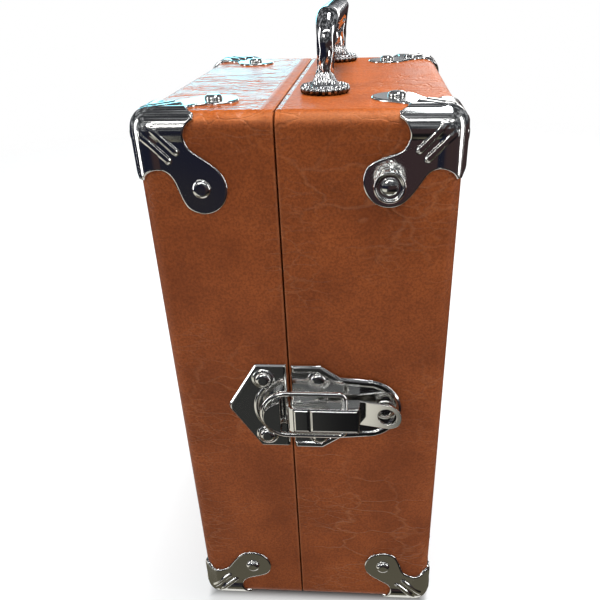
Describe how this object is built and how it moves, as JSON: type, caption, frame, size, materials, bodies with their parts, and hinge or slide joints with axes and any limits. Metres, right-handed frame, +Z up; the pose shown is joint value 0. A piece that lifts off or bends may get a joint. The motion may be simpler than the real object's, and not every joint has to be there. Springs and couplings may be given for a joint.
{
  "type": "tube tester",
  "caption": "Portable tube tester in a tan leatherette case with chrome corners, carrying handle and drawbolt latch; hinged lid over a panel with meter, sockets, selectors and switches.",
  "frame": {"origin": "bottom centre of the bounding box, on the surface that the closed case stands on", "axes": "+Z up, +Y from the latched front to the hinged back, +X from the lid half to the base half"},
  "size_m": [0.1668, 0.2446, 0.3802],
  "materials": {
    "plywood": "bare plywood",
    "leatherette": "tan grained leatherette with scuffs",
    "chrome": "bright chrome plate",
    "steel": "nickel plated",
    "panel_paint": "grey-black wrinkle paint",
    "bakelite": "moulded black phenolic",
    "dial": "cream printed card",
    "needle": "black painted needle",
    "glass": "clear glass",
    "brass": "turned brass",
    "red_plastic": "red moulding",
    "rubber": "black rubber",
    "core_steel": "varnished laminations",
    "winding": "waxed paper over wire",
    "board": "brown phenolic board with parts"
  },
  "bodies": {
    "base": {"base_box": "plywood", "panel_cleats": "plywood", "base_covering": "leatherette", "corner_base_top_front": "chrome", "corner_base_top_back": "chrome", "corner_base_bottom_front": "chrome", "corner_base_bottom_back": "chrome", "base_rivets": "chrome", "strap_button": "chrome", "handle": "chrome", "latch_plate": "chrome", "latch_pin": "chrome", "handle_bolts": "steel", "hinge_base_leaves": "steel", "hinge_base_screws": "steel", "hinge_pins": "steel", "panel_screws": "steel", "test_button_bezel": "steel", "pilot_lamp_bezel": "steel", "panel": "panel_paint", "meter_case": "bakelite", "octal_socket_1": "bakelite", "octal_socket_2": "bakelite", "noval_sockets": "bakelite", "miniature_sockets": "bakelite", "fuse_holder": "bakelite", "selector_switches": "bakelite", "power_switch_body": "bakelite", "meter_dial": "dial", "meter_window": "glass", "pilot_lamp_lens": "red_plastic", "mains_gland": "rubber", "transformer_core": "core_steel", "transformer_coil": "winding", "component_board": "board"},
    "lid": {"lid_box": "plywood", "lid_covering": "leatherette", "lid_rivets": "chrome", "latch_catch": "chrome", "hinge_lid_leaves": "steel", "hinge_lid_screws": "steel", "corner_lid_top_front": "chrome", "corner_lid_top_back": "chrome", "corner_lid_bottom_front": "chrome", "corner_lid_bottom_back": "chrome"},
    "lever": {"latch_lever": "chrome"},
    "bail": {"latch_bail": "chrome"},
    "needle": {"meter_pointer": "needle"},
    "toggle": {"power_switch_bat": "steel"},
    "plunger": {"test_button": "red_plastic"},
    "selector_1": {"selector_knob_1": "bakelite", "selector_shaft_1": "brass"},
    "selector_2": {"selector_knob_2": "bakelite", "selector_shaft_2": "brass"},
    "selector_3": {"selector_knob_3": "bakelite", "selector_shaft_3": "brass"},
    "selector_4": {"selector_knob_4": "bakelite", "selector_shaft_4": "brass"}
  },
  "joints": [
    {"name": "lid_hinge", "type": "hinge", "parent": "base", "child": "lid", "pos_m": [-0.0104, 0.11915, 0.1719], "axis": [0, 0, -1], "range_deg": [0, 180]},
    {"name": "lever_swing", "type": "hinge", "parent": "base", "child": "lever", "pos_m": [-0.0056, -0.11505, 0.1744], "axis": [0, 0, -1], "range_deg": [0, 100]},
    {"name": "bail_swing", "type": "hinge", "parent": "lever", "child": "bail", "pos_m": [0.0226, -0.11535, 0.1744], "axis": [0, 0, -1], "range_deg": [-75, 0]},
    {"name": "needle_swing", "type": "hinge", "parent": "base", "child": "needle", "pos_m": [-0.0119, 0.02215, 0.0799], "axis": [1, 0, 0], "range_deg": [0, 90]},
    {"name": "power_throw", "type": "hinge", "parent": "base", "child": "toggle", "pos_m": [-0.0104, -0.07585, 0.0519], "axis": [0, 1, 0], "range_deg": [0, 24]},
    {"name": "test_press", "type": "slide", "parent": "base", "child": "plunger", "axis": [1, 0, 0], "range_m": [0, 0.003], "stiffness_N_per_m": 400},
    {"name": "selector_1_turn", "type": "hinge", "parent": "base", "child": "selector_1", "pos_m": [-0.006, -0.02985, 0.0619], "axis": [1, 0, 0], "range_deg": [-150, 150]},
    {"name": "selector_2_turn", "type": "hinge", "parent": "base", "child": "selector_2", "pos_m": [-0.006, -0.02985, 0.1319], "axis": [1, 0, 0], "range_deg": [-150, 150]},
    {"name": "selector_3_turn", "type": "hinge", "parent": "base", "child": "selector_3", "pos_m": [-0.006, -0.02985, 0.2019], "axis": [1, 0, 0], "range_deg": [-150, 150]},
    {"name": "selector_4_turn", "type": "hinge", "parent": "base", "child": "selector_4", "pos_m": [-0.006, -0.02985, 0.2719], "axis": [1, 0, 0], "range_deg": [-150, 150]}
  ],
  "couplings": [
    {"joint": "bail_swing", "follows": "lever_swing", "ratio": -0.75}
  ]
}
